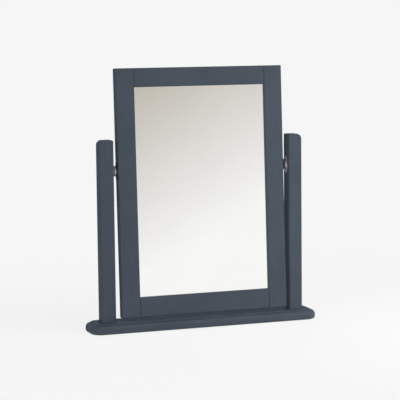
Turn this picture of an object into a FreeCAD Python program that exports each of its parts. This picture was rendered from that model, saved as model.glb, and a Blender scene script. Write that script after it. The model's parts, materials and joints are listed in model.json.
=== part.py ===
# Swivel dressing table mirror: a moulded base board, two posts, and a framed mirror
# glass that turns between them on a pair of friction swivels.
# Millimetres. +Z is up, +X is to the right of someone facing the glass, which faces -Y.
# The origin lies on the table top, under the middle of the base.
import FreeCAD, Part
import math
import os

Vector = FreeCAD.Vector

# Frame of the glass
frame_width = 371.0
frame_above_pivot = 213.3
frame_below_pivot = 308.9
frame_thickness = 20.0
stile_width = 40.0
top_rail_width = 40.0
bottom_rail_width = 42.0
member_arris = 1.1
front_lip = 5.2
rebate_width = 9.0
rest_tilt_deg = 2.8

# Glass, backing board and the beads that hold them in the rebate
glass_thickness = 4.0
glass_clearance = 1.0
board_thickness = 3.0
bead_width = 8.0
bead_round = 2.5
bead_round_share = 0.8
bead_pin_radius = 0.8
bead_pin_length = 15.0
side_bead_pin_shares = (-0.38, -0.13, 0.13, 0.38)
rail_bead_pin_shares = (-0.34, 0.0, 0.34)

# Dowels in the corners of the frame
frame_dowel_radius = 4.0
frame_dowel_length = 36.0
rail_dowel_shares = (0.27, 0.73)

# Posts
post_width = 30.3
post_depth = 29.0
post_above_pivot = 65.5
post_outer_round = 11.0
post_inner_round = 3.5
post_arris = 2.0

# Base board, with a step and a thumb round worked along all its edges
base_thickness = 21.0
base_end_margin = 27.9
base_side_margin = 25.5
base_corner_radius = 25.5
moulding_projection = 10.5
moulding_step = 2.0
moulding_tread = 0.8
moulding_under_radius = 5.0
base_top_arris = 0.7
sweep_clearance = 8.0

# Screws and dowels that hold the posts on the base
post_screw_radius = 2.5
post_screw_head_radius = 5.0
post_screw_length = 56.0
post_screw_sink = 0.6
post_dowel_radius = 3.0
post_dowel_length = 24.0
post_dowel_share = 0.31

# Felt pads under the base
pad_radius = 9.0
pad_thickness = 1.0
pad_end_inset = 70.0
pad_side_inset = 18.0

# Friction swivels
swivel_gap = 10.8
plate_thickness = 2.0
plate_width = 17.0
plate_rim = 1.2
drum_radius = 11.0
drum_chamfer = 1.0
washer_radius = 8.5
washer_thickness = 2.0
pin_radius = 3.0
pin_flare = 1.0
pin_head_radius = 4.6
pin_head_height = 1.8
pin_recess_clearance = 1.2
plate_screw_radius = 1.4
plate_screw_head_radius = 2.6
plate_screw_length = 14.0

# Fits
running_clearance = 0.05
axial_clearance = 0.1
hole_clearance = 0.05
screw_tip = 3.0
overrun = 1.0

# Sizes that follow from those above
frame_side = frame_width / 2
opening_side = frame_side - stile_width
opening_top = frame_above_pivot - top_rail_width
opening_bottom = bottom_rail_width - frame_below_pivot
frame_front = -frame_thickness / 2
frame_back = frame_thickness / 2
glass_front = frame_front + front_lip
board_front = glass_front + glass_thickness
bead_front = board_front + board_thickness
bead_middle = (bead_front + frame_back) / 2
bead_edge = min(bead_round, bead_round_share * (frame_back - bead_front))
post_inner = frame_side + swivel_gap
post_middle = post_inner + post_width / 2
post_outer = post_inner + post_width
base_length = 2 * (post_outer + base_end_margin)
base_depth = post_depth + 2 * base_side_margin
base_top = pad_thickness + base_thickness
pivot_height = base_top + sweep_clearance + frame_below_pivot
post_top = pivot_height + post_above_pivot
frame_plate_face = frame_side + plate_thickness
post_plate_face = post_inner - plate_thickness
plate_screw_offset = drum_radius + plate_rim + plate_screw_head_radius
pin_recess_radius = pin_head_radius + pin_recess_clearance
pin_recess_depth = axial_clearance + pin_head_height + pin_recess_clearance

X_AXIS = Vector(1, 0, 0)
Z_AXIS = Vector(0, 0, 1)
CENTRE = Vector(0, 0, 0)


def block(x_span, y_span, z_span):
    """A box between two places along each axis."""
    low = Vector(x_span[0], y_span[0], z_span[0])
    return Part.makeBox(x_span[1] - x_span[0], y_span[1] - y_span[0], z_span[1] - z_span[0], low)


def rod(radius, start, end):
    """A round rod from one point to another."""
    run = end - start
    return Part.makeCylinder(radius, run.Length, start, run)


def turned(outline, start, direction):
    """A solid turned about a line: the outline is (distance along it, radius) from its start."""
    points = [Vector(radius, 0, along) for along, radius in outline]
    solid = Part.Face(Part.makePolygon(points + points[:1])).revolve(CENTRE, Z_AXIS, 360)
    solid.Placement = FreeCAD.Placement(start, FreeCAD.Rotation(Z_AXIS, direction))
    return solid


def rounded(solid, radius, chosen):
    """The solid with its chosen edges rounded."""
    return solid.makeFillet(radius, [edge for edge in solid.Edges if chosen(edge)])


def bevelled(solid, size, chosen=lambda edge: True):
    """The solid with its chosen edges, or all of them, taken off at a slant."""
    return solid.makeChamfer(size, [edge for edge in solid.Edges if chosen(edge)])


def mirrored(shape):
    """The same shape on the other side of the middle plane."""
    return shape.mirror(CENTRE, X_AXIS)


def both_sides(shapes):
    """The shapes with their mirror images, as one group."""
    return Part.makeCompound(shapes + [mirrored(shape) for shape in shapes])


def at_pivot(shape):
    """The shape moved from the swivel's own axes to the pivot's height."""
    return shape.translated(Vector(0, 0, pivot_height))


def tilted(shape):
    """The shape leaned back with the glass and moved to the pivot's height."""
    return at_pivot(shape.rotated(CENTRE, X_AXIS, -rest_tilt_deg))


def countersunk_screw(start, direction, radius, head_radius, length):
    """A countersunk wood screw with its flat head at the start."""
    neck = head_radius - radius
    outline = [(0, 0), (0, head_radius), (neck, radius), (length - screw_tip, radius), (length, 0)]
    return turned(outline, start, direction)


def screw_hole(start, direction, radius, head_radius, length):
    """The hole for such a screw, open above its head."""
    bore = radius + hole_clearance
    mouth = head_radius + hole_clearance
    neck = head_radius - radius
    end = length + hole_clearance
    outline = [(-overrun, 0), (-overrun, mouth), (0, mouth), (neck, bore), (end, bore), (end, 0)]
    return turned(outline, start, direction)


def rounded_plan(length, depth, radius, level):
    """A closed outline with four round corners, starting at the middle of its front."""
    x = length / 2
    y = depth / 2
    slant = radius * math.sqrt(2) / 2
    corners = [(x - radius, radius - y, 1, -1), (x - radius, y - radius, 1, 1),
               (radius - x, y - radius, -1, 1), (radius - x, radius - y, -1, -1)]
    edges = []
    here = Vector(0, -y, level)
    for index, (cx, cy, sx, sy) in enumerate(corners):
        on_side = Vector(cx + sx * radius, cy, level)
        on_face = Vector(cx, cy + sy * radius, level)
        middle = Vector(cx + sx * slant, cy + sy * slant, level)
        first, last = (on_face, on_side) if index % 2 == 0 else (on_side, on_face)
        edges.append(Part.LineSegment(here, first).toShape())
        edges.append(Part.Arc(first, middle, last).toShape())
        here = last
    edges.append(Part.LineSegment(here, Vector(0, -y, level)).toShape())
    return Part.Wire(edges)


def moulding_section(front, bottom):
    """The moulding's section where it crosses the middle of the front edge."""
    nose_top = bottom + base_thickness - moulding_step
    thumb = moulding_projection - moulding_tread
    under = moulding_under_radius
    bend = 1 - math.sqrt(2) / 2

    def place(out, height):
        return Vector(0, front - out, height)

    foot = place(0, bottom)
    under_start = place(moulding_projection - under, bottom)
    under_middle = place(moulding_projection - under * bend, bottom + under * bend)
    under_end = place(moulding_projection, bottom + under)
    thumb_start = place(moulding_projection, nose_top - thumb)
    thumb_middle = place(moulding_projection - thumb * bend, nose_top - thumb * bend)
    thumb_end = place(moulding_tread, nose_top)
    step_foot = place(0, nose_top)
    edges = [Part.LineSegment(foot, under_start), Part.Arc(under_start, under_middle, under_end),
             Part.LineSegment(under_end, thumb_start), Part.Arc(thumb_start, thumb_middle, thumb_end),
             Part.LineSegment(thumb_end, step_foot), Part.LineSegment(step_foot, foot)]
    return Part.Wire([edge.toShape() for edge in edges])


def post_screw_place():
    """Where the right post's screw head lies, under the base."""
    return Vector(post_middle, 0, pad_thickness + post_screw_sink)


def post_dowels_on_right():
    """The two dowels between the right post and the base."""
    reach = post_dowel_length / 2
    offset = post_width * post_dowel_share
    return [(Vector(post_middle + side * offset, 0, base_top - reach),
             Vector(post_middle + side * offset, 0, base_top + reach)) for side in (-1, 1)]


def post_holes():
    """The holes that one post and the base share."""
    holes = [screw_hole(post_screw_place(), Z_AXIS, post_screw_radius, post_screw_head_radius,
                        post_screw_length)]
    for start, end in post_dowels_on_right():
        slack = Vector(0, 0, hole_clearance)
        holes.append(rod(post_dowel_radius + hole_clearance, start - slack, end + slack))
    return holes


def base_board():
    """The board: its flat core, with the moulding swept round it."""
    core_length = base_length - 2 * moulding_projection
    core_depth = base_depth - 2 * moulding_projection
    core_radius = base_corner_radius - moulding_projection
    plan = rounded_plan(core_length, core_depth, core_radius, pad_thickness)
    core = Part.Face(plan).extrude(Vector(0, 0, base_thickness))
    core = bevelled(core, base_top_arris, lambda edge: edge.BoundBox.ZMin > base_top - base_top_arris)
    section = moulding_section(-core_depth / 2, pad_thickness)
    moulding = plan.makePipeShell([section], True, False)
    board = core.fuse(moulding).removeSplitter()
    holes = post_holes()
    return board.cut(holes + [mirrored(hole) for hole in holes])


def right_post():
    """The right post, with its outer top corner rounded off."""
    outer = post_outer_round
    inner = post_inner_round
    bend = 1 - math.sqrt(2) / 2
    front = -post_depth / 2

    def place(x, z):
        return Vector(x, front, z)

    foot_inner = place(post_inner, base_top)
    foot_outer = place(post_outer, base_top)
    side_outer = place(post_outer, post_top - outer)
    turn_outer = place(post_outer - outer * bend, post_top - outer * bend)
    top_outer = place(post_outer - outer, post_top)
    top_inner = place(post_inner + inner, post_top)
    turn_inner = place(post_inner + inner * bend, post_top - inner * bend)
    side_inner = place(post_inner, post_top - inner)
    edges = [Part.LineSegment(foot_inner, foot_outer), Part.LineSegment(foot_outer, side_outer),
             Part.Arc(side_outer, turn_outer, top_outer), Part.LineSegment(top_outer, top_inner),
             Part.Arc(top_inner, turn_inner, side_inner), Part.LineSegment(side_inner, foot_inner)]
    outline = Part.Wire([edge.toShape() for edge in edges])
    post = Part.Face(outline).extrude(Vector(0, post_depth, 0))
    flat_in_depth = post_depth / 2

    def on_face_above_foot(edge):
        box = edge.BoundBox
        return box.YLength < flat_in_depth and box.ZMax > base_top + overrun

    post = rounded(post, post_arris, on_face_above_foot)
    screw_holes = [at_pivot(hole) for hole in plate_screws(screw_hole, post_plate_face, X_AXIS)]
    return post.cut(post_holes() + screw_holes)


def felt_pads():
    """Four felt discs under the base."""
    x = base_length / 2 - pad_end_inset
    y = base_depth / 2 - pad_side_inset
    pads = [rod(pad_radius, Vector(x, side * y, 0), Vector(x, side * y, pad_thickness))
            for side in (-1, 1)]
    return both_sides(pads)


def corner_dowels_on_right():
    """The ends of each dowel between the right stile and the rails."""
    reach = Vector(frame_dowel_length / 2, 0, 0)
    heights = [frame_above_pivot - share * (top_rail_width - rebate_width) for share in rail_dowel_shares]
    heights += [share * (bottom_rail_width - rebate_width) - frame_below_pivot
                for share in rail_dowel_shares]
    middles = [Vector(opening_side, 0, height) for height in heights]
    return [(middle - reach, middle + reach) for middle in middles]


def corner_dowel_holes():
    """The holes for the right stile's dowels."""
    slack = Vector(hole_clearance, 0, 0)
    return [rod(frame_dowel_radius + hole_clearance, start - slack, end + slack)
            for start, end in corner_dowels_on_right()]


def right_stile():
    """The right upright of the frame, rebated at the back and recessed for the pivot pin."""
    stile = bevelled(block((opening_side, frame_side), (frame_front, frame_back),
                           (-frame_below_pivot, frame_above_pivot)), member_arris)
    rebate = block((opening_side - overrun, opening_side + rebate_width),
                   (glass_front, frame_back + overrun),
                   (opening_bottom - rebate_width, opening_top + rebate_width))
    recess = rod(pin_recess_radius, Vector(frame_side - pin_recess_depth, 0, 0),
                 Vector(frame_side + overrun, 0, 0))
    holes = plate_screws(screw_hole, frame_plate_face, -X_AXIS)
    holes += corner_dowel_holes() + [bead_pin_hole(*pin) for pin in side_bead_pins()]
    return stile.cut([rebate, recess] + holes)


def rail(low, high, rebate_low, rebate_high, pins):
    """A rail between the stiles, rebated along its inner edge."""
    bar = block((-opening_side, opening_side), (frame_front, frame_back), (low, high))
    bar = bevelled(bar, member_arris)
    rebate = block((-frame_side, frame_side), (glass_front, frame_back + overrun),
                   (rebate_low, rebate_high))
    dowels = corner_dowel_holes()
    holes = dowels + [mirrored(hole) for hole in dowels] + [bead_pin_hole(*pin) for pin in pins]
    return bar.cut([rebate] + holes)


def top_rail():
    """The upper rail."""
    return rail(opening_top, frame_above_pivot, opening_top - overrun, opening_top + rebate_width,
                rail_bead_pins(opening_top + rebate_width, 1))


def bottom_rail():
    """The lower rail."""
    return rail(-frame_below_pivot, opening_bottom, opening_bottom - rebate_width, opening_bottom + overrun,
                rail_bead_pins(opening_bottom - rebate_width, -1))


def sheet(front, thickness):
    """A sheet that lies in the rebate with a little room all round."""
    side = opening_side + rebate_width - glass_clearance
    low = opening_bottom - rebate_width + glass_clearance
    high = opening_top + rebate_width - glass_clearance
    return block((-side, side), (front, front + thickness), (low, high))


def side_bead_pins():
    """Start and direction of each pin through the right bead."""
    middle = (opening_top + opening_bottom) / 2
    height = opening_top - opening_bottom
    inner = opening_side + rebate_width - bead_width
    return [(Vector(inner, bead_middle, middle + share * height), X_AXIS)
            for share in side_bead_pin_shares]


def rail_bead_pins(wall, up):
    """Start and direction of each pin through the bead at a rail's rebate wall."""
    return [(Vector(share * 2 * opening_side, bead_middle, wall - up * bead_width), Z_AXIS * up)
            for share in rail_bead_pin_shares]


def bead_pin(start, direction):
    """A headless panel pin, driven in flush."""
    return rod(bead_pin_radius, start, start + direction * bead_pin_length)


def bead_pin_hole(start, direction):
    """The hole for a panel pin."""
    end = start + direction * (bead_pin_length + hole_clearance)
    return rod(bead_pin_radius + hole_clearance, start - direction * overrun, end)


def bead_bar(x_span, z_span, round_edge, pins):
    """A bead in the rebate, rounded along its inner back edge."""
    bar = block(x_span, (bead_front, frame_back), z_span)
    bar = rounded(bar, bead_edge, round_edge)
    return bar.cut([bead_pin_hole(*pin) for pin in pins])


def right_bead():
    """The bead along the right stile, between the other two."""
    wall = opening_side + rebate_width
    reach = rebate_width - bead_width

    def inner_back_edge(edge):
        box = edge.BoundBox
        return box.ZLength > bead_width and box.YMin > bead_front and box.XMax < wall - bead_edge

    return bead_bar((wall - bead_width, wall), (opening_bottom - reach, opening_top + reach),
                    inner_back_edge, side_bead_pins())


def rail_bead(wall, up):
    """The bead along a rail, from stile to stile."""
    side = opening_side + rebate_width
    inner = wall - up * bead_width

    def inner_back_edge(edge):
        box = edge.BoundBox
        on_inner = abs((box.ZMin + box.ZMax) / 2 - inner) < bead_edge
        return box.XLength > bead_width and box.YMin > bead_front and on_inner

    return bead_bar((-side, side), sorted((inner, wall)), inner_back_edge, rail_bead_pins(wall, up))


def plate_screws(make, face, direction):
    """The two screws of a plate, or their holes, as make gives them."""
    return [make(Vector(face, 0, side * plate_screw_offset), direction, plate_screw_radius,
                 plate_screw_head_radius, plate_screw_length) for side in (-1, 1)]


def leaf(start, holes):
    """A plate whose round middle draws in to a small round ear at each end, and its holes."""
    middle = plate_width / 2
    ear = plate_screw_head_radius + plate_rim
    lean = math.acos((middle - ear) / plate_screw_offset)
    wide = math.sin(lean)
    rise = math.cos(lean)

    def half_outline(turn):
        """One ear and one side of the middle, turned about the pivot for the other half."""
        def place(y, z):
            return Vector(start, turn * y, turn * z)

        ear_start = place(-ear * wide, -plate_screw_offset - ear * rise)
        ear_tip = place(0, -plate_screw_offset - ear)
        ear_end = place(ear * wide, -plate_screw_offset - ear * rise)
        middle_start = place(middle * wide, -middle * rise)
        middle_side = place(middle, 0)
        middle_end = place(middle * wide, middle * rise)
        next_ear = place(ear * wide, plate_screw_offset + ear * rise)
        return [Part.Arc(ear_start, ear_tip, ear_end), Part.LineSegment(ear_end, middle_start),
                Part.Arc(middle_start, middle_side, middle_end), Part.LineSegment(middle_end, next_ear)]

    outline = Part.Wire([edge.toShape() for edge in half_outline(1) + half_outline(-1)])
    return Part.Face(outline).extrude(Vector(plate_thickness, 0, 0)).cut(holes)


def right_pivot_pin():
    """The pin, flared in the post plate, free in the frame plate and peened over in the stile."""
    head_start = swivel_gap + axial_clearance
    head_end = head_start + pin_head_height
    outline = [(0, 0), (0, pin_radius + pin_flare), (pin_flare, pin_radius), (head_start, pin_radius),
               (head_start, pin_head_radius), ((head_start + head_end) / 2, pin_head_radius),
               (head_end, pin_radius), (head_end, 0)]
    return turned(outline, Vector(post_inner, 0, 0), -X_AXIS)


def pin_bore(start, end):
    """The bore for the pin between two places along its axis."""
    return rod(pin_radius + running_clearance, Vector(start - overrun, 0, 0), Vector(end + overrun, 0, 0))


def right_post_plate():
    """The plate on the post, countersunk for the pin's flare and for two screws."""
    bore = pin_radius + running_clearance
    mouth = bore + pin_flare
    outline = [(-overrun, 0), (-overrun, mouth), (0, mouth), (pin_flare, bore), (pin_flare, 0)]
    flare = turned(outline, Vector(post_inner, 0, 0), -X_AXIS)
    holes = plate_screws(screw_hole, post_plate_face, X_AXIS)
    return leaf(post_plate_face, holes + [flare, pin_bore(post_plate_face, post_inner)])


def right_frame_plate():
    """The plate on the stile, which turns on the pin."""
    holes = plate_screws(screw_hole, frame_plate_face, -X_AXIS)
    return leaf(frame_side, holes + [pin_bore(frame_side, frame_plate_face)])


def right_friction_washer():
    """The fibre washer that grips between the drum and the frame plate."""
    start = frame_plate_face + axial_clearance
    end = start + washer_thickness
    disc = rod(washer_radius, Vector(start, 0, 0), Vector(end, 0, 0))
    return disc.cut(pin_bore(start, end))


def right_swivel_drum():
    """The round drum that spaces the two plates."""
    start = frame_plate_face + axial_clearance + washer_thickness
    end = post_plate_face
    drum = bevelled(rod(drum_radius, Vector(start, 0, 0), Vector(end, 0, 0)), drum_chamfer,
                    lambda edge: edge.BoundBox.XLength < drum_chamfer)
    return drum.cut(pin_bore(start, end))


def frame_nodes():
    """The pieces that turn with the glass, before they are leaned back."""
    dowels = [rod(frame_dowel_radius, start, end) for start, end in corner_dowels_on_right()]
    top_wall = opening_top + rebate_width
    bottom_wall = opening_bottom - rebate_width
    rail_pins = rail_bead_pins(top_wall, 1) + rail_bead_pins(bottom_wall, -1)
    side_pins = both_sides([bead_pin(*pin) for pin in side_bead_pins()])
    plate_screw_solids = plate_screws(countersunk_screw, frame_plate_face, -X_AXIS)
    return {
        "left_stile": mirrored(right_stile()),
        "right_stile": right_stile(),
        "top_rail": top_rail(),
        "bottom_rail": bottom_rail(),
        "frame_dowels": both_sides(dowels),
        "mirror_glass": sheet(glass_front, glass_thickness),
        "backing_board": sheet(board_front, board_thickness),
        "left_bead": mirrored(right_bead()),
        "right_bead": right_bead(),
        "top_bead": rail_bead(top_wall, 1),
        "bottom_bead": rail_bead(bottom_wall, -1),
        "bead_pins": Part.makeCompound([bead_pin(*pin) for pin in rail_pins] + side_pins.Solids),
        "left_frame_plate": mirrored(right_frame_plate()),
        "right_frame_plate": right_frame_plate(),
        "frame_plate_screws": both_sides(plate_screw_solids),
    }


def swivel_nodes():
    """The swivel pieces that stay on the posts, about the pivot."""
    plate_screw_solids = plate_screws(countersunk_screw, post_plate_face, X_AXIS)
    return {
        "left_post_plate": mirrored(right_post_plate()),
        "right_post_plate": right_post_plate(),
        "left_swivel_drum": mirrored(right_swivel_drum()),
        "right_swivel_drum": right_swivel_drum(),
        "left_friction_washer": mirrored(right_friction_washer()),
        "right_friction_washer": right_friction_washer(),
        "left_pivot_pin": mirrored(right_pivot_pin()),
        "right_pivot_pin": right_pivot_pin(),
        "post_plate_screws": both_sides(plate_screw_solids),
    }


def stand_nodes():
    """The base, the posts and what fixes them together."""
    dowels = [rod(post_dowel_radius, start, end) for start, end in post_dowels_on_right()]
    screw = countersunk_screw(post_screw_place(), Z_AXIS, post_screw_radius, post_screw_head_radius,
                              post_screw_length)
    return {
        "base_board": base_board(),
        "left_post": mirrored(right_post()),
        "right_post": right_post(),
        "post_dowels": both_sides(dowels),
        "post_screws": both_sides([screw]),
        "felt_pads": felt_pads(),
    }


def all_nodes():
    """Every piece by name, where it stands at rest."""
    nodes = stand_nodes()
    nodes.update({name: at_pivot(shape) for name, shape in swivel_nodes().items()})
    nodes.update({name: tilted(shape) for name, shape in frame_nodes().items()})
    return nodes


os.makedirs("parts", exist_ok=True)
for node_name, node_shape in all_nodes().items():
    node_shape.exportStep("parts/" + node_name + ".step")
    print(node_name, len(node_shape.Solids), round(node_shape.Volume, 1), node_shape.isValid())
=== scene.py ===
"""Dresses a swivel dressing table mirror: slate paint, silvered glass, nickel, in a pale studio."""
import json
import logging
import math
from dataclasses import dataclass
from enum import Enum
from typing import Any, Optional, Sequence

import bmesh
import bpy
from mathutils import Matrix, Vector

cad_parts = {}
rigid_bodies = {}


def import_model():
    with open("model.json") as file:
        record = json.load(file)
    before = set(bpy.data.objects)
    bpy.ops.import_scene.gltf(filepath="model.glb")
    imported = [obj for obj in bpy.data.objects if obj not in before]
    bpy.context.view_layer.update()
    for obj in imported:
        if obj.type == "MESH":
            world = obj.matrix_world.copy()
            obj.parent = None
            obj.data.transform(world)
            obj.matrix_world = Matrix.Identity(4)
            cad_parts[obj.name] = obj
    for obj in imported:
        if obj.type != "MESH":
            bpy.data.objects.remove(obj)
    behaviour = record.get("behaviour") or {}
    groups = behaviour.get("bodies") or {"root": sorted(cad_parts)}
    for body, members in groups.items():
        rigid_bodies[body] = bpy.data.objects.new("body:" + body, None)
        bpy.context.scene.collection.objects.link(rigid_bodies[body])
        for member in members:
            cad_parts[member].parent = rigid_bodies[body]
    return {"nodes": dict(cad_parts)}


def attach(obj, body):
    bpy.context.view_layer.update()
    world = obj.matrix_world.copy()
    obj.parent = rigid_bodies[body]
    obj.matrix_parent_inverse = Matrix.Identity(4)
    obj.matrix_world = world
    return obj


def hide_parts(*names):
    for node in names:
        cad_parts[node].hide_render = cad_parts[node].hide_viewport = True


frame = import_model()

LOG = logging.getLogger("dressing_table_mirror")
MM = 0.001
UP = Vector((0, 0, 1))
WELD = 0.001 * MM        # corners of the CAD's loose triangles that are this near are one corner
ORDER_DIGITS = 4         # decimals of a metre that tell the places of two solids apart

# A Mix node gives its sockets for numbers and for colours the same names, so the colours' sockets
# go by their places.
MIX_SHARE, MIX_FIRST, MIX_SECOND, MIX_RESULT = 0, 6, 7, 2


class Body(Enum):
    """The two bodies that pieces ride on."""

    STAND = "stand"
    MIRROR = "mirror"


class Side(Enum):
    """The two ends of the object, by the prefix of their nodes."""

    LEFT = "left"
    RIGHT = "right"


class Along(Enum):
    """The way a brush, a grain or a belt ran, as stretches of its pattern along X, Y and Z."""

    X = (0.03, 1.0, 1.0)
    Z = (1.0, 1.0, 0.03)
    ROUND_X = (1.0, 0.05, 0.05)
    EVEN = (1.0, 1.0, 1.0)


class Drive(Enum):
    """The way a screw is driven: up into a post, or along X to or from the middle of the object."""

    UP = "up"
    INWARD = "inward"
    OUTWARD = "outward"

    def way(self, middle: Vector) -> Vector:
        """Gives the direction from head to tip.

        Args:
            middle: the middle of the screw.

        Returns:
            A unit vector.
        """
        if self is Drive.UP:
            return UP
        outward = Vector((math.copysign(1, middle.x), 0, 0))
        return outward if self is Drive.OUTWARD else -outward


def linear(colour: str) -> tuple[float, float, float, float]:
    """Turns an sRGB hex colour to linear light.

    Args:
        colour: six hex digits.

    Returns:
        Red, green, blue and a full alpha.
    """
    parts = [int(colour[place:place + 2], 16) / 255 for place in (0, 2, 4)]
    light = [part / 12.92 if part <= 0.04045 else ((part + 0.055) / 1.055) ** 2.4 for part in parts]
    return (light[0], light[1], light[2], 1.0)


def per_metre(size_mm: float) -> float:
    """Gives the pattern scale whose features measure size_mm."""
    return 1.0 / (size_mm * MM)


def add_node(tree: bpy.types.NodeTree, kind: str, inputs: Optional[dict[Any, Any]] = None,
             **settings: Any) -> bpy.types.Node:
    """Adds a node with its settings, values and links.

    Args:
        tree: the tree that gets the node.
        kind: the node's type.
        inputs: socket name or index to a value, or to one or more output sockets to link.
        settings: the node's own properties.

    Returns:
        The new node.
    """
    node = tree.nodes.new(kind)
    for name, value in settings.items():
        setattr(node, name, value)
    for key, value in (inputs or {}).items():
        for each in value if isinstance(value, list) else [value]:
            if isinstance(each, bpy.types.NodeSocket):
                tree.links.new(each, node.inputs[key])
            else:
                node.inputs[key].default_value = each
    return node


@dataclass(frozen=True)
class Finish:
    """A surface finish that makes its own node material."""

    name: str

    def material(self) -> bpy.types.Material:
        """Makes the finish's material, the first time it is asked for.

        Returns:
            The one material that has the finish's name.
        """
        found = bpy.data.materials.get(self.name)
        if found:
            return found
        made = bpy.data.materials.new(self.name)
        made.use_nodes = True
        tree = made.node_tree
        tree.nodes.clear()
        shader = add_node(tree, "ShaderNodeBsdfPrincipled", self.shade(tree))
        add_node(tree, "ShaderNodeOutputMaterial", {"Surface": shader.outputs["BSDF"]})
        return made

    def shade(self, tree: bpy.types.NodeTree) -> dict[str, Any]:
        """Adds the finish's own nodes; each finish says how.

        Args:
            tree: the material's tree.

        Returns:
            The shader's inputs by name, each a value or an output socket to link.
        """
        raise NotImplementedError


@dataclass(frozen=True)
class SlatePaint(Finish):
    """Water-based satin paint brushed on timber: faint strokes along it and a soft wide sheen."""

    along: Along
    colour: str = "414a54"
    pale: str = "49515d"
    stroke_mm: float = 1.8
    stroke_detail: float = 3.0
    cloud_mm: float = 70.0
    cloud_detail: float = 2.0
    stipple_mm: float = 0.7
    stipple_detail: float = 1.0
    pale_from: float = 0.12
    pale_full: float = 0.38
    smooth: float = 0.38
    rough: float = 0.46
    relief_mm: float = 0.15
    relief_strength: float = 0.10
    ior: float = 1.35

    def shade(self, tree: bpy.types.NodeTree) -> dict[str, Any]:
        """Adds brush strokes and slow clouds in colour and gloss, with a fine stipple in the bump.

        Args:
            tree: the material's tree.

        Returns:
            The shader's inputs.
        """
        place = add_node(tree, "ShaderNodeTexCoord").outputs["Object"]
        drawn = add_node(tree, "ShaderNodeMapping", {"Vector": place, "Scale": self.along.value})
        strokes = add_node(tree, "ShaderNodeTexNoise", {
            "Vector": drawn.outputs["Vector"], "Scale": per_metre(self.stroke_mm),
            "Detail": self.stroke_detail})
        clouds = add_node(tree, "ShaderNodeTexNoise", {
            "Vector": place, "Scale": per_metre(self.cloud_mm), "Detail": self.cloud_detail})
        stipple = add_node(tree, "ShaderNodeTexNoise", {
            "Vector": place, "Scale": per_metre(self.stipple_mm), "Detail": self.stipple_detail})
        both = add_node(tree, "ShaderNodeMath", {
            0: strokes.outputs["Fac"], 1: clouds.outputs["Fac"]}, operation="MULTIPLY")
        spread = add_node(tree, "ShaderNodeMapRange", {
            "Value": both.outputs[0], "From Min": self.pale_from, "From Max": self.pale_full})
        tone = add_node(tree, "ShaderNodeMix", {
            MIX_SHARE: spread.outputs[0], MIX_FIRST: linear(self.colour),
            MIX_SECOND: linear(self.pale)}, data_type="RGBA")
        gloss = add_node(tree, "ShaderNodeMapRange", {
            "Value": strokes.outputs["Fac"], "To Min": self.smooth, "To Max": self.rough})
        relief = add_node(tree, "ShaderNodeMath", {
            0: strokes.outputs["Fac"], 1: stipple.outputs["Fac"]}, operation="ADD")
        bump = add_node(tree, "ShaderNodeBump", {
            "Height": relief.outputs[0], "Strength": self.relief_strength,
            "Distance": self.relief_mm * MM})
        return {"Base Color": tone.outputs[MIX_RESULT], "Roughness": gloss.outputs[0],
                "Normal": bump.outputs[0], "IOR": self.ior}


@dataclass(frozen=True)
class SilveredGlass(Finish):
    """Float glass silvered on its back: a clean reflection with a barely wiped bloom."""

    colour: str = "f6f6f6"
    bloom: str = "f0f1f1"
    wipe_mm: float = 90.0
    wipe_detail: float = 4.0
    wipe_swirl: float = 0.6
    wiped_from: float = 0.35
    wiped_full: float = 0.75
    clean: float = 0.004
    wiped: float = 0.022

    def shade(self, tree: bpy.types.NodeTree) -> dict[str, Any]:
        """Adds a polish and a tint that drift a little, as a wiped glass's do.

        Args:
            tree: the material's tree.

        Returns:
            The shader's inputs.
        """
        place = add_node(tree, "ShaderNodeTexCoord").outputs["Object"]
        wipes = add_node(tree, "ShaderNodeTexNoise", {
            "Vector": place, "Scale": per_metre(self.wipe_mm), "Detail": self.wipe_detail,
            "Distortion": self.wipe_swirl})
        polish = add_node(tree, "ShaderNodeMapRange", {
            "Value": wipes.outputs["Fac"], "From Min": self.wiped_from, "From Max": self.wiped_full,
            "To Min": self.clean, "To Max": self.wiped})
        tint = add_node(tree, "ShaderNodeMix", {
            MIX_SHARE: wipes.outputs["Fac"], MIX_FIRST: linear(self.colour),
            MIX_SECOND: linear(self.bloom)}, data_type="RGBA")
        return {"Base Color": tint.outputs[MIX_RESULT], "Roughness": polish.outputs[0],
                "Metallic": 1.0}


@dataclass(frozen=True)
class SatinNickel(Finish):
    """Nickel-plated steel, belt polished: fine scratches one way and a soft grey sheen."""

    along: Along
    colour: str
    worn: str
    scratch_mm: float = 0.35        # coarser than a belt's real scratches, so that they show
    scratch_detail: float = 3.0
    smooth: float = 0.42
    rough: float = 0.56
    relief_mm: float = 0.05
    relief_strength: float = 0.15

    def shade(self, tree: bpy.types.NodeTree) -> dict[str, Any]:
        """Adds scratches in colour, gloss and bump.

        Args:
            tree: the material's tree.

        Returns:
            The shader's inputs.
        """
        place = add_node(tree, "ShaderNodeTexCoord").outputs["Object"]
        drawn = add_node(tree, "ShaderNodeMapping", {"Vector": place, "Scale": self.along.value})
        scratches = add_node(tree, "ShaderNodeTexNoise", {
            "Vector": drawn.outputs["Vector"], "Scale": per_metre(self.scratch_mm),
            "Detail": self.scratch_detail})
        tone = add_node(tree, "ShaderNodeMix", {
            MIX_SHARE: scratches.outputs["Fac"], MIX_FIRST: linear(self.worn),
            MIX_SECOND: linear(self.colour)}, data_type="RGBA")
        gloss = add_node(tree, "ShaderNodeMapRange", {
            "Value": scratches.outputs["Fac"], "To Min": self.smooth, "To Max": self.rough})
        bump = add_node(tree, "ShaderNodeBump", {
            "Height": scratches.outputs["Fac"], "Strength": self.relief_strength,
            "Distance": self.relief_mm * MM})
        return {"Base Color": tone.outputs[MIX_RESULT], "Roughness": gloss.outputs[0],
                "Normal": bump.outputs[0], "Metallic": 1.0}


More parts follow.
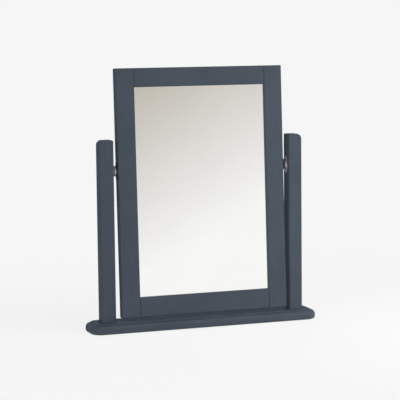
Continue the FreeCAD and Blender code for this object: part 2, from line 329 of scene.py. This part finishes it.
@dataclass(frozen=True)
class Hardboard(Finish):
    """Brown hardboard, pressed smooth: short dark fibres and pale flecks under a dull skin."""

    dark: str = "4f3624"
    mid: str = "6d4d34"
    pale: str = "83623f"
    fibre_mm: float = 1.6
    fibre_detail: float = 5.0
    fibre_swirl: float = 1.4
    cloud_mm: float = 45.0
    cloud_detail: float = 2.0
    fleck_from: float = 0.35
    fleck_full: float = 0.7
    relief_mm: float = 0.1
    relief_strength: float = 0.25
    roughness: float = 0.62

    def shade(self, tree: bpy.types.NodeTree) -> dict[str, Any]:
        """Adds flecks over slow clouds, with the fibres just raised.

        Args:
            tree: the material's tree.

        Returns:
            The shader's inputs.
        """
        place = add_node(tree, "ShaderNodeTexCoord").outputs["Object"]
        fibres = add_node(tree, "ShaderNodeTexNoise", {
            "Vector": place, "Scale": per_metre(self.fibre_mm), "Detail": self.fibre_detail,
            "Distortion": self.fibre_swirl})
        clouds = add_node(tree, "ShaderNodeTexNoise", {
            "Vector": place, "Scale": per_metre(self.cloud_mm), "Detail": self.cloud_detail})
        flecks = add_node(tree, "ShaderNodeMapRange", {
            "Value": fibres.outputs["Fac"], "From Min": self.fleck_from,
            "From Max": self.fleck_full})
        ground = add_node(tree, "ShaderNodeMix", {
            MIX_SHARE: clouds.outputs["Fac"], MIX_FIRST: linear(self.dark),
            MIX_SECOND: linear(self.mid)}, data_type="RGBA")
        tone = add_node(tree, "ShaderNodeMix", {
            MIX_SHARE: flecks.outputs[0], MIX_FIRST: ground.outputs[MIX_RESULT],
            MIX_SECOND: linear(self.pale)}, data_type="RGBA")
        bump = add_node(tree, "ShaderNodeBump", {
            "Height": fibres.outputs["Fac"], "Strength": self.relief_strength,
            "Distance": self.relief_mm * MM})
        return {"Base Color": tone.outputs[MIX_RESULT], "Normal": bump.outputs[0],
                "Roughness": self.roughness}


@dataclass(frozen=True)
class Grained(Finish):
    """A dull material with one grain, which shows in its colour and is just raised."""

    along: Along
    dark: str
    pale: str
    grain_mm: float
    grain_detail: float
    grain_swirl: float
    relief_mm: float
    relief_strength: float
    roughness: float
    sheen: float

    def shade(self, tree: bpy.types.NodeTree) -> dict[str, Any]:
        """Adds the grain in colour and bump.

        Args:
            tree: the material's tree.

        Returns:
            The shader's inputs.
        """
        place = add_node(tree, "ShaderNodeTexCoord").outputs["Object"]
        drawn = add_node(tree, "ShaderNodeMapping", {"Vector": place, "Scale": self.along.value})
        grain = add_node(tree, "ShaderNodeTexNoise", {
            "Vector": drawn.outputs["Vector"], "Scale": per_metre(self.grain_mm),
            "Detail": self.grain_detail, "Distortion": self.grain_swirl})
        tone = add_node(tree, "ShaderNodeMix", {
            MIX_SHARE: grain.outputs["Fac"], MIX_FIRST: linear(self.dark),
            MIX_SECOND: linear(self.pale)}, data_type="RGBA")
        bump = add_node(tree, "ShaderNodeBump", {
            "Height": grain.outputs["Fac"], "Strength": self.relief_strength,
            "Distance": self.relief_mm * MM})
        return {"Base Color": tone.outputs[MIX_RESULT], "Normal": bump.outputs[0],
                "Roughness": self.roughness, "Sheen Weight": self.sheen}


@dataclass(frozen=True)
class BareBeech(Grained):
    """Turned beech, left bare: straight pale grain along the dowel, with short darker rays."""

    dark: str = "a77f59"
    pale: str = "cda985"
    grain_mm: float = 0.8
    grain_detail: float = 4.0
    grain_swirl: float = 0.0
    relief_mm: float = 0.1
    relief_strength: float = 0.3
    roughness: float = 0.7
    sheen: float = 0.0


@dataclass(frozen=True)
class BlackFibre(Grained):
    """Vulcanised fibre stamped into washers: near black, dull, with a faint paper grain."""

    dark: str = "1b1a1a"
    pale: str = "2c2a29"
    grain_mm: float = 0.5
    grain_detail: float = 3.0
    grain_swirl: float = 0.0
    relief_mm: float = 0.05
    relief_strength: float = 0.3
    roughness: float = 0.66
    sheen: float = 0.0


@dataclass(frozen=True)
class PressedFelt(Grained):
    """Pressed wool felt: matted fibres that scatter light, so edges look soft."""

    dark: str = "2c2f32"
    pale: str = "4a4e52"
    grain_mm: float = 0.9           # coarser than matted wool, so that it shows
    grain_detail: float = 6.0
    grain_swirl: float = 2.0
    relief_mm: float = 0.3
    relief_strength: float = 0.7
    roughness: float = 0.95
    sheen: float = 0.4


PAINT_UPRIGHT = SlatePaint("slate_satin_paint_upright", Along.Z)
PAINT_LEVEL = SlatePaint("slate_satin_paint_level", Along.X)
GLASS = SilveredGlass("silvered_float_glass")
NICKEL_PLATE = SatinNickel("satin_nickel_plate", Along.Z, colour="e4e2e8", worn="d0ced6")
NICKEL_TURNED = SatinNickel("satin_nickel_turned", Along.ROUND_X, colour="b8b2c4", worn="a59fb1")
# The frame plates' nickel is darkened to near black: painted shade, standing for the shade that the
# drum and washer cast on them.
NICKEL_SHADE_DARKENED = SatinNickel("shade_darkened_nickel_plate", Along.Z, colour="4a4a50", worn="3a3a40")
BOARD = Hardboard("pressed_hardboard")
BEECH_UPRIGHT = BareBeech("bare_beech_upright", Along.Z)
BEECH_LEVEL = BareBeech("bare_beech_level", Along.X)
FIBRE = BlackFibre("vulcanised_fibre", Along.EVEN)
FELT = PressedFelt("pressed_felt", Along.EVEN)


def dress(node: str, finish: Finish) -> None:
    """Gives a CAD node its finish.

    Args:
        node: the node's name.
        finish: the finish that its surface has.
    """
    for slot in frame["nodes"][node].material_slots:
        slot.material = finish.material()
    LOG.info("%s: %s", node, finish.name)


def solids_of(node: str) -> list[tuple[Vector, Vector]]:
    """Finds the box of each separate solid of a CAD node.

    Args:
        node: the node's name.

    Returns:
        The lowest and highest corner of each solid, in order of place.
    """
    shape = bmesh.new()
    shape.from_mesh(frame["nodes"][node].data)
    bmesh.ops.remove_doubles(shape, verts=shape.verts, dist=WELD)
    unseen = set(shape.verts)
    boxes = []
    while unseen:
        edge_of_search = [unseen.pop()]
        corners = []
        while edge_of_search:
            vertex = edge_of_search.pop()
            corners.append(vertex.co.copy())
            near = {edge.other_vert(vertex) for edge in vertex.link_edges} & unseen
            unseen -= near
            edge_of_search.extend(near)
        axes = list(zip(*corners))
        boxes.append((Vector([min(axis) for axis in axes]), Vector([max(axis) for axis in axes])))
    shape.free()
    return sorted(boxes, key=lambda box: [round(part, ORDER_DIGITS) for part in box[0]])


class TurnedTree:
    """A node tree that turns an outline into a solid and sets a copy on every point."""

    FUZZ_MM = 1.4
    FUZZ_DETAIL = 2.0
    NOISE_MIDDLE = (0.5, 0.5, 0.5)
    IN_PLAN = (2.0, 2.0, 0.0)        # noise strays half a unit, so this makes it one, in plan alone

    def __init__(self, name: str, inputs: Sequence[str]) -> None:
        """Starts the tree.

        Args:
            name: the tree's name.
            inputs: the names of its sizes, in metres.
        """
        self.tree = bpy.data.node_groups.new(name, "GeometryNodeTree")
        face = self.tree.interface
        face.new_socket("Geometry", in_out="INPUT", socket_type="NodeSocketGeometry")
        kinds = {**dict.fromkeys(inputs, "NodeSocketFloat"), "Material": "NodeSocketMaterial"}
        self.ids = {each: face.new_socket(each, in_out="INPUT", socket_type=kind).identifier
                    for each, kind in kinds.items()}
        face.new_socket("Geometry", in_out="OUTPUT", socket_type="NodeSocketGeometry")
        self.given = add_node(self.tree, "NodeGroupInput")

    def size(self, name: str) -> bpy.types.NodeSocket:
        """Gives the socket of one of the tree's sizes."""
        return self.given.outputs[name]

    def turned(self, rings: Sequence[tuple[Any, Any]], sides: int) -> bpy.types.NodeSocket:
        """Turns an outline about Z into a closed solid.

        Args:
            rings: place along the axis and radius of each ring, as values or sockets.
            sides: how many sides the solid has.

        Returns:
            The socket of the solid.
        """
        steps = len(rings) - 1
        bottom, top = -0.5, 0.5        # the ends of the blank, which is one unit long
        blank = add_node(self.tree, "GeometryNodeMeshCylinder", {
            "Vertices": sides, "Side Segments": steps, "Radius": 1.0, "Depth": 1.0},
            fill_type="TRIANGLE_FAN")
        here = add_node(self.tree, "ShaderNodeSeparateXYZ", {
            0: add_node(self.tree, "GeometryNodeInputPosition").outputs[0]})
        level = add_node(self.tree, "ShaderNodeMapRange", {
            "Value": here.outputs["Z"], "From Min": bottom, "From Max": top,
            "To Max": float(steps)})
        index = add_node(self.tree, "ShaderNodeMath", {0: level.outputs[0]}, operation="ROUND")
        picks = []
        for column in (0, 1):
            pick = add_node(self.tree, "GeometryNodeIndexSwitch", {"Index": index.outputs[0]},
                            data_type="FLOAT")
            while len(pick.index_switch_items) < len(rings):
                pick.index_switch_items.new()
            for place, ring in enumerate(rings):
                socket = pick.inputs[place + 1]
                if isinstance(ring[column], bpy.types.NodeSocket):
                    self.tree.links.new(ring[column], socket)
                else:
                    socket.default_value = ring[column]
            picks.append(pick.outputs[0])
        height, radius = picks
        across = [add_node(self.tree, "ShaderNodeMath", {0: here.outputs[axis], 1: radius},
                           operation="MULTIPLY").outputs[0] for axis in "XY"]
        spot = add_node(self.tree, "ShaderNodeCombineXYZ", {
            "X": across[0], "Y": across[1], "Z": height})
        shaped = add_node(self.tree, "GeometryNodeSetPosition", {
            "Geometry": blank.outputs["Mesh"], "Position": spot.outputs[0]})
        return shaped.outputs[0]

    def close(self, solid: bpy.types.NodeSocket,
              fuzz: Optional[bpy.types.NodeSocket] = None) -> None:
        """Sets a copy of the solid on every point, along the point's way, and ends the tree.

        Args:
            solid: the socket of the solid.
            fuzz: how far the copies' outlines stray in plan, for a cut soft material.
        """
        way = add_node(self.tree, "GeometryNodeInputNamedAttribute", {"Name": PointCloud.WAY},
                       data_type="FLOAT_VECTOR")
        turn = add_node(self.tree, "FunctionNodeAlignRotationToVector", {"Vector": way.outputs[0]},
                        axis="Z")
        copies = add_node(self.tree, "GeometryNodeInstanceOnPoints", {
            "Points": self.given.outputs["Geometry"], "Instance": solid,
            "Rotation": turn.outputs[0]})
        shape = add_node(self.tree, "GeometryNodeRealizeInstances", {0: copies.outputs[0]})
        if fuzz:
            noise = add_node(self.tree, "ShaderNodeTexNoise", {
                "Scale": per_metre(self.FUZZ_MM), "Detail": self.FUZZ_DETAIL})
            stray = add_node(self.tree, "ShaderNodeVectorMath", {
                0: noise.outputs["Color"], 1: self.NOISE_MIDDLE}, operation="SUBTRACT")
            flat = add_node(self.tree, "ShaderNodeVectorMath", {
                0: stray.outputs[0], 1: self.IN_PLAN}, operation="MULTIPLY")
            reach = add_node(self.tree, "ShaderNodeVectorMath", {
                0: flat.outputs[0], "Scale": fuzz}, operation="SCALE")
            shape = add_node(self.tree, "GeometryNodeSetPosition", {
                "Geometry": shape.outputs[0], "Offset": reach.outputs[0]})
        painted = add_node(self.tree, "GeometryNodeSetMaterial", {
            "Geometry": shape.outputs[0], "Material": self.given.outputs["Material"]})
        add_node(self.tree, "NodeGroupOutput", {"Geometry": painted.outputs[0]})


@dataclass
class PointCloud:
    """Points that a tree sets copies on, each with the direction that its copy faces."""

    places: Sequence[Vector]
    ways: Sequence[Vector]

    WAY = "way"

    def grow(self, name: str, grown: TurnedTree, sizes: dict[str, float],
             finish: Finish) -> bpy.types.Object:
        """Runs a tree on the points and keeps the result as a plain mesh.

        Args:
            name: the new piece's name.
            grown: the tree.
            sizes: the tree's sizes, in metres.
            finish: the finish of the copies.

        Returns:
            The new piece, at the origin.
        """
        seeds = bpy.data.meshes.new(name + "_points")
        seeds.from_pydata([tuple(place) for place in self.places], [], [])
        ways = seeds.attributes.new(self.WAY, "FLOAT_VECTOR", "POINT")
        ways.data.foreach_set("vector", [part for way in self.ways for part in way])
        piece = bpy.data.objects.new(name, seeds)
        bpy.context.scene.collection.objects.link(piece)
        grower = piece.modifiers.new("copies", "NODES")
        grower.node_group = grown.tree
        for size, value in sizes.items():
            grower[grown.ids[size]] = value
        grower[grown.ids["Material"]] = finish.material()
        graph = bpy.context.evaluated_depsgraph_get()
        mesh = bpy.data.meshes.new_from_object(piece.evaluated_get(graph))
        piece.modifiers.clear()
        piece.data = mesh
        bpy.data.meshes.remove(seeds)
        LOG.info("%s: %d faces", name, len(mesh.polygons))
        return piece


@dataclass(frozen=True)
class ScrewKind:
    """A countersunk cross-head wood screw. Its recess is a share of its head."""

    recess_reach_share: float = 0.62
    recess_width_share: float = 0.2
    recess_depth_share: float = 0.42
    tip_share: float = 1.8
    point: float = 0.05 * MM
    sides: int = 32

    def tree(self) -> TurnedTree:
        """Makes the node tree of the screw.

        Returns:
            A tree whose copies have the flat of the head on the point, driven along its way.
        """
        made = TurnedTree("countersunk_screws", ("Head radius", "Shank radius", "Length"))
        head, shank, length = map(made.size, ("Head radius", "Shank radius", "Length"))
        neck = add_node(made.tree, "ShaderNodeMath", {0: head, 1: shank}, operation="SUBTRACT")
        tip = add_node(made.tree, "ShaderNodeMath", {0: shank, 1: self.tip_share},
                       operation="MULTIPLY")
        tip_start = add_node(made.tree, "ShaderNodeMath", {0: length, 1: tip.outputs[0]},
                             operation="SUBTRACT")
        blank = made.turned([(0.0, head), (neck.outputs[0], shank), (tip_start.outputs[0], shank),
                             (length, self.point)], self.sides)
        bar = (self.recess_reach_share, self.recess_width_share)
        bars = []
        for x_share, y_share in (bar, bar[::-1]):
            halves = Vector((x_share, y_share, self.recess_depth_share))
            box = add_node(made.tree, "ShaderNodeVectorMath", {0: 2 * halves, "Scale": head},
                           operation="SCALE")
            cube = add_node(made.tree, "GeometryNodeMeshCube", {"Size": box.outputs[0]})
            bars.append(cube.outputs["Mesh"])
        cut = add_node(made.tree, "GeometryNodeMeshBoolean", {0: blank, 1: bars},
                       operation="DIFFERENCE")
        made.close(cut.outputs[0])
        return made


@dataclass(frozen=True)
class FeltDisc:
    """A disc punched from pressed felt, with edges that have gone soft."""

    soft: float = 0.3 * MM
    fuzz: float = 0.12 * MM
    bevel_share: float = 0.3
    sides: int = 56

    def tree(self) -> TurnedTree:
        """Makes the node tree of the disc.

        Returns:
            A tree whose copies stand on the point, along its way.
        """
        made = TurnedTree("felt_discs", ("Radius", "Thickness", "Soft", "Fuzz"))
        radius, thickness, soft = map(made.size, ("Radius", "Thickness", "Soft"))
        bevel = add_node(made.tree, "ShaderNodeMath", {0: soft, 1: self.bevel_share},
                         operation="MULTIPLY").outputs[0]
        flat, rim, shoulder, top_bevel = [
            add_node(made.tree, "ShaderNodeMath", {0: whole, 1: cut},
                     operation="SUBTRACT").outputs[0]
            for whole in (radius, thickness) for cut in (soft, bevel)]
        solid = made.turned([(0.0, flat), (bevel, rim), (soft, radius), (shoulder, radius),
                             (top_bevel, rim), (thickness, flat)], self.sides)
        made.close(solid, made.size("Fuzz"))
        return made


@dataclass
class ScrewSet:
    """The screws of one CAD node, all alike, each set where the CAD has it."""

    node: str
    body: Body
    drive: Drive
    screws: TurnedTree
    shank_share: float = 0.53

    def build(self) -> None:
        """Makes the screws in place of the CAD's plain ones."""
        boxes = solids_of(self.node)
        middles = [(low + high) / 2 for low, high in boxes]
        ways = [self.drive.way(middle) for middle in middles]
        size = boxes[-1][1] - boxes[-1][0]
        length = abs(size.dot(ways[-1]))
        heads = [middle - way * length / 2 for middle, way in zip(middles, ways)]
        radius = size.y / 2
        sizes = {"Head radius": radius, "Shank radius": radius * self.shank_share, "Length": length}
        piece = PointCloud(heads, ways).grow(
            "cross_head_" + self.node, self.screws, sizes, NICKEL_PLATE)
        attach(piece, self.body.value)
        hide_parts(self.node)


@dataclass
class Stand:
    """The base, its posts, its felt feet and what fixes them together."""

    felt: FeltDisc
    posts: tuple[str, ...] = ("left_post", "right_post")

    def build(self) -> None:
        """Makes the felt discs under the base, all alike."""
        boxes = solids_of("felt_pads")
        feet = [Vector(((low.x + high.x) / 2, (low.y + high.y) / 2, low.z)) for low, high in boxes]
        size = boxes[-1][1] - boxes[-1][0]
        sizes = {"Radius": size.y / 2 - self.felt.fuzz, "Thickness": size.z,
                 "Soft": self.felt.soft, "Fuzz": self.felt.fuzz}
        piece = PointCloud(feet, [UP] * len(feet)).grow(
            "pressed_felt_feet", self.felt.tree(), sizes, FELT)
        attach(piece, Body.STAND.value)
        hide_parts("felt_pads")

    def dress(self) -> None:
        """Paints the timber and finishes what is hidden."""
        dress("base_board", PAINT_LEVEL)
        for post in self.posts:
            dress(post, PAINT_UPRIGHT)
        dress("post_dowels", BEECH_UPRIGHT)


@dataclass
class Swivel:
    """One friction swivel: its plates, drum, washer and pin."""

    side: Side

    def dress(self) -> None:
        """Plates the metal, with the frame plates darkened to near black as painted shade, and
        blackens the washer.
        """
        dress(f"{self.side.value}_post_plate", NICKEL_PLATE)
        dress(f"{self.side.value}_frame_plate", NICKEL_SHADE_DARKENED)
        dress(f"{self.side.value}_swivel_drum", NICKEL_TURNED)
        dress(f"{self.side.value}_pivot_pin", NICKEL_TURNED)
        dress(f"{self.side.value}_friction_washer", FIBRE)


@dataclass
class MirrorFrame:
    """The frame, its glass and what holds the glass in."""

    upright: tuple[str, ...] = ("left_stile", "right_stile", "left_bead", "right_bead")
    level: tuple[str, ...] = ("top_rail", "bottom_rail", "top_bead", "bottom_bead")

    def dress(self) -> None:
        """Paints the timber, silvers the glass and leaves the board brown."""
        for node in self.upright:
            dress(node, PAINT_UPRIGHT)
        for node in self.level:
            dress(node, PAINT_LEVEL)
        dress("mirror_glass", GLASS)
        dress("backing_board", BOARD)
        dress("frame_dowels", BEECH_LEVEL)
        dress("bead_pins", NICKEL_TURNED)


@dataclass(frozen=True)
class Viewpoint:
    """Where the photograph was taken from, in metres, and the way it looks, in radians."""

    eye: tuple[float, float, float] = (-1.1447, -3.2128, 0.6452)
    yaw: float = 0.3416
    pitch: float = 0.1097
    roll: float = 0.0107
    focal_px: float = 1612.1
    image_px: float = 400.0
    sensor_mm: float = 36.0

    def build(self) -> None:
        """Makes the camera and sets it as the scene's own."""
        ahead, fall = math.cos(self.pitch), math.sin(self.pitch)
        look = Vector((math.sin(self.yaw) * ahead, math.cos(self.yaw) * ahead, -fall))
        level = Vector((math.cos(self.yaw), -math.sin(self.yaw), 0))
        down = look.cross(level)
        across = level * math.cos(self.roll) + down * math.sin(self.roll)
        up = across.cross(look)
        lens = bpy.data.cameras.new("viewpoint")
        lens.sensor_width = self.sensor_mm
        lens.lens = self.focal_px * self.sensor_mm / self.image_px
        camera = bpy.data.objects.new("viewpoint", lens)
        bpy.context.scene.collection.objects.link(camera)
        turn = Matrix((across, up, -look)).transposed()
        camera.matrix_world = Matrix.Translation(self.eye) @ turn.to_4x4()
        bpy.context.scene.camera = camera


@dataclass(frozen=True)
class Softbox:
    """A square studio light that looks at the object and shows in no reflection."""

    name: str
    place: tuple[float, float, float]
    width: float
    watts: float
    aim: tuple[float, float, float] = (0.0, 0.0, 0.28)

    def build(self) -> None:
        """Makes the light."""
        lamp = bpy.data.lights.new(self.name, "AREA")
        lamp.size = self.width
        lamp.energy = self.watts
        holder = bpy.data.objects.new(self.name, lamp)
        holder.location = self.place
        holder.visible_camera = False
        holder.visible_glossy = False
        look = Vector(self.aim) - Vector(self.place)
        holder.rotation_euler = look.to_track_quat("-Z", "Y").to_euler()
        bpy.context.scene.collection.objects.link(holder)


@dataclass(frozen=True)
class Studio:
    """A pale floor that melts into a pale room, which is dim far behind the object."""

    room: str = "f6f6f6"
    bright_side: str = "fcfbfa"
    grey_side: str = "c4bfb4"
    slope: tuple[float, float, float] = (0.49, 0.0, -0.87)      # the way from grey to bright
    grey_end: float = 0.100
    bright_end: float = 0.200
    far_end: str = "6c8095"
    far_start: float = 0.35
    far_full: float = 0.85
    mirrored: float = 1.06          # the room's strength in reflections
    ambient: float = 0.1            # the room's strength as light
    floor_radius: float = 1.3
    floor_sides: int = 96
    floor_fade: float = 0.45        # how far from the middle the floor starts to melt away
    floor_glow: float = 0.85        # the share of the floor that gives its own light
    floor_light: float = 1.058      # that light's strength to the eye and in the glass
    floor_dim: float = 0.27         # its strength on the object, and in sheens from behind
    boxes: tuple[Softbox, ...] = (
        Softbox("key", place=(-2.0, -2.0, 0.8), width=1.6, watts=19.5),
        Softbox("left", place=(-2.4, -1.6, 0.7), width=1.4, watts=17.8),
        Softbox("right", place=(1.0, -0.6, 0.4), width=0.6, watts=8.7),
        Softbox("top", place=(0.3, -0.9, 1.9), width=1.0, watts=12.2),
        Softbox("rear", place=(0.1, 2.3, 0.6), width=1.4, watts=24.0))

    def build(self) -> None:
        """Makes the room, the floor and the lights."""
        bpy.context.scene.view_settings.view_transform = "Standard"
        self.light_room()
        self.lay_floor()
        for box in self.boxes:
            box.build()

    def light_room(self) -> None:
        """Makes the world: flat to the eye, and from grey to white across what glass reflects."""
        world = bpy.data.worlds.new("pale_room")
        bpy.context.scene.world = world
        world.use_nodes = True
        tree = world.node_tree
        tree.nodes.clear()
        way = add_node(tree, "ShaderNodeTexCoord").outputs["Generated"]
        climb = add_node(tree, "ShaderNodeVectorMath", {0: way, 1: self.slope},
                         operation="DOT_PRODUCT")
        share = add_node(tree, "ShaderNodeMapRange", {
            "Value": climb.outputs["Value"], "From Min": self.grey_end,
            "From Max": self.bright_end})
        front = add_node(tree, "ShaderNodeMix", {
            MIX_SHARE: share.outputs[0], MIX_FIRST: linear(self.grey_side),
            MIX_SECOND: linear(self.bright_side)}, data_type="RGBA")
        away = add_node(tree, "ShaderNodeSeparateXYZ", {0: way})
        distance = add_node(tree, "ShaderNodeMapRange", {
            "Value": away.outputs["Y"], "From Min": self.far_start, "From Max": self.far_full})
        tone = add_node(tree, "ShaderNodeMix", {
            MIX_SHARE: distance.outputs[0], MIX_FIRST: front.outputs[MIX_RESULT],
            MIX_SECOND: linear(self.far_end)}, data_type="RGBA")
        path = add_node(tree, "ShaderNodeLightPath")
        seen = add_node(tree, "ShaderNodeBackground", {"Color": linear(self.room)})
        mirrored = add_node(tree, "ShaderNodeBackground", {
            "Color": tone.outputs[MIX_RESULT], "Strength": self.mirrored})
        plain = add_node(tree, "ShaderNodeBackground", {
            "Color": linear(self.room), "Strength": self.ambient})
        lit = add_node(tree, "ShaderNodeMixShader", {
            0: path.outputs["Is Glossy Ray"], 1: plain.outputs[0], 2: mirrored.outputs[0]})
        both = add_node(tree, "ShaderNodeMixShader", {
            0: path.outputs["Is Camera Ray"], 1: lit.outputs[0], 2: seen.outputs[0]})
        add_node(tree, "ShaderNodeOutputWorld", {"Surface": both.outputs[0]})

    def lay_floor(self) -> None:
        """Makes the floor: a pale disc that takes a soft shadow and fades out at its edge."""
        bpy.ops.mesh.primitive_circle_add(
            vertices=self.floor_sides, radius=self.floor_radius, fill_type="NGON")
        floor = bpy.context.active_object
        floor.name = "floor"
        made = bpy.data.materials.new("pale_floor")
        made.use_nodes = True
        tree = made.node_tree
        tree.nodes.clear()
        place = add_node(tree, "ShaderNodeTexCoord").outputs["Object"]
        reach = add_node(tree, "ShaderNodeVectorMath", {0: place}, operation="LENGTH")
        fade = add_node(tree, "ShaderNodeMapRange", {
            "Value": reach.outputs["Value"], "From Min": self.floor_fade,
            "From Max": self.floor_radius}, interpolation_type="SMOOTHSTEP")
        path = add_node(tree, "ShaderNodeLightPath")
        depth = add_node(tree, "ShaderNodeSeparateXYZ", {0: place})
        behind = add_node(tree, "ShaderNodeMath", {0: depth.outputs["Y"], 1: 0.0},
                          operation="GREATER_THAN")
        sheen = add_node(tree, "ShaderNodeMath", {
            0: behind.outputs[0], 1: path.outputs["Is Glossy Ray"]}, operation="MULTIPLY")
        dimmed = add_node(tree, "ShaderNodeMath", {
            0: sheen.outputs[0], 1: path.outputs["Is Diffuse Ray"]}, operation="MAXIMUM")
        strength = add_node(tree, "ShaderNodeMapRange", {
            "Value": dimmed.outputs[0], "To Min": self.floor_light, "To Max": self.floor_dim})
        matt = add_node(tree, "ShaderNodeBsdfDiffuse", {"Color": linear(self.room)})
        glow = add_node(tree, "ShaderNodeEmission", {
            "Color": linear(self.room), "Strength": strength.outputs[0]})
        pale = add_node(tree, "ShaderNodeMixShader", {
            0: self.floor_glow, 1: matt.outputs[0], 2: glow.outputs[0]})
        clear = add_node(tree, "ShaderNodeBsdfTransparent")
        surface = add_node(tree, "ShaderNodeMixShader", {
            0: fade.outputs[0], 1: pale.outputs[0], 2: clear.outputs[0]})
        add_node(tree, "ShaderNodeOutputMaterial", {"Surface": surface.outputs[0]})
        floor.data.materials.append(made)


def main() -> None:
    """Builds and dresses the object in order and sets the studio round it."""
    logging.basicConfig(level=logging.INFO, format="%(message)s")
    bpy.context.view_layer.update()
    screws = ScrewKind().tree()
    stand = Stand(FeltDisc())
    stand.build()
    stand.dress()
    for side in Side:
        Swivel(side).dress()
    ScrewSet("post_screws", Body.STAND, Drive.UP, screws).build()
    ScrewSet("post_plate_screws", Body.STAND, Drive.OUTWARD, screws).build()
    ScrewSet("frame_plate_screws", Body.MIRROR, Drive.INWARD, screws).build()
    MirrorFrame().dress()
    Studio().build()
    Viewpoint().build()


if __name__ == "__main__":
    main()
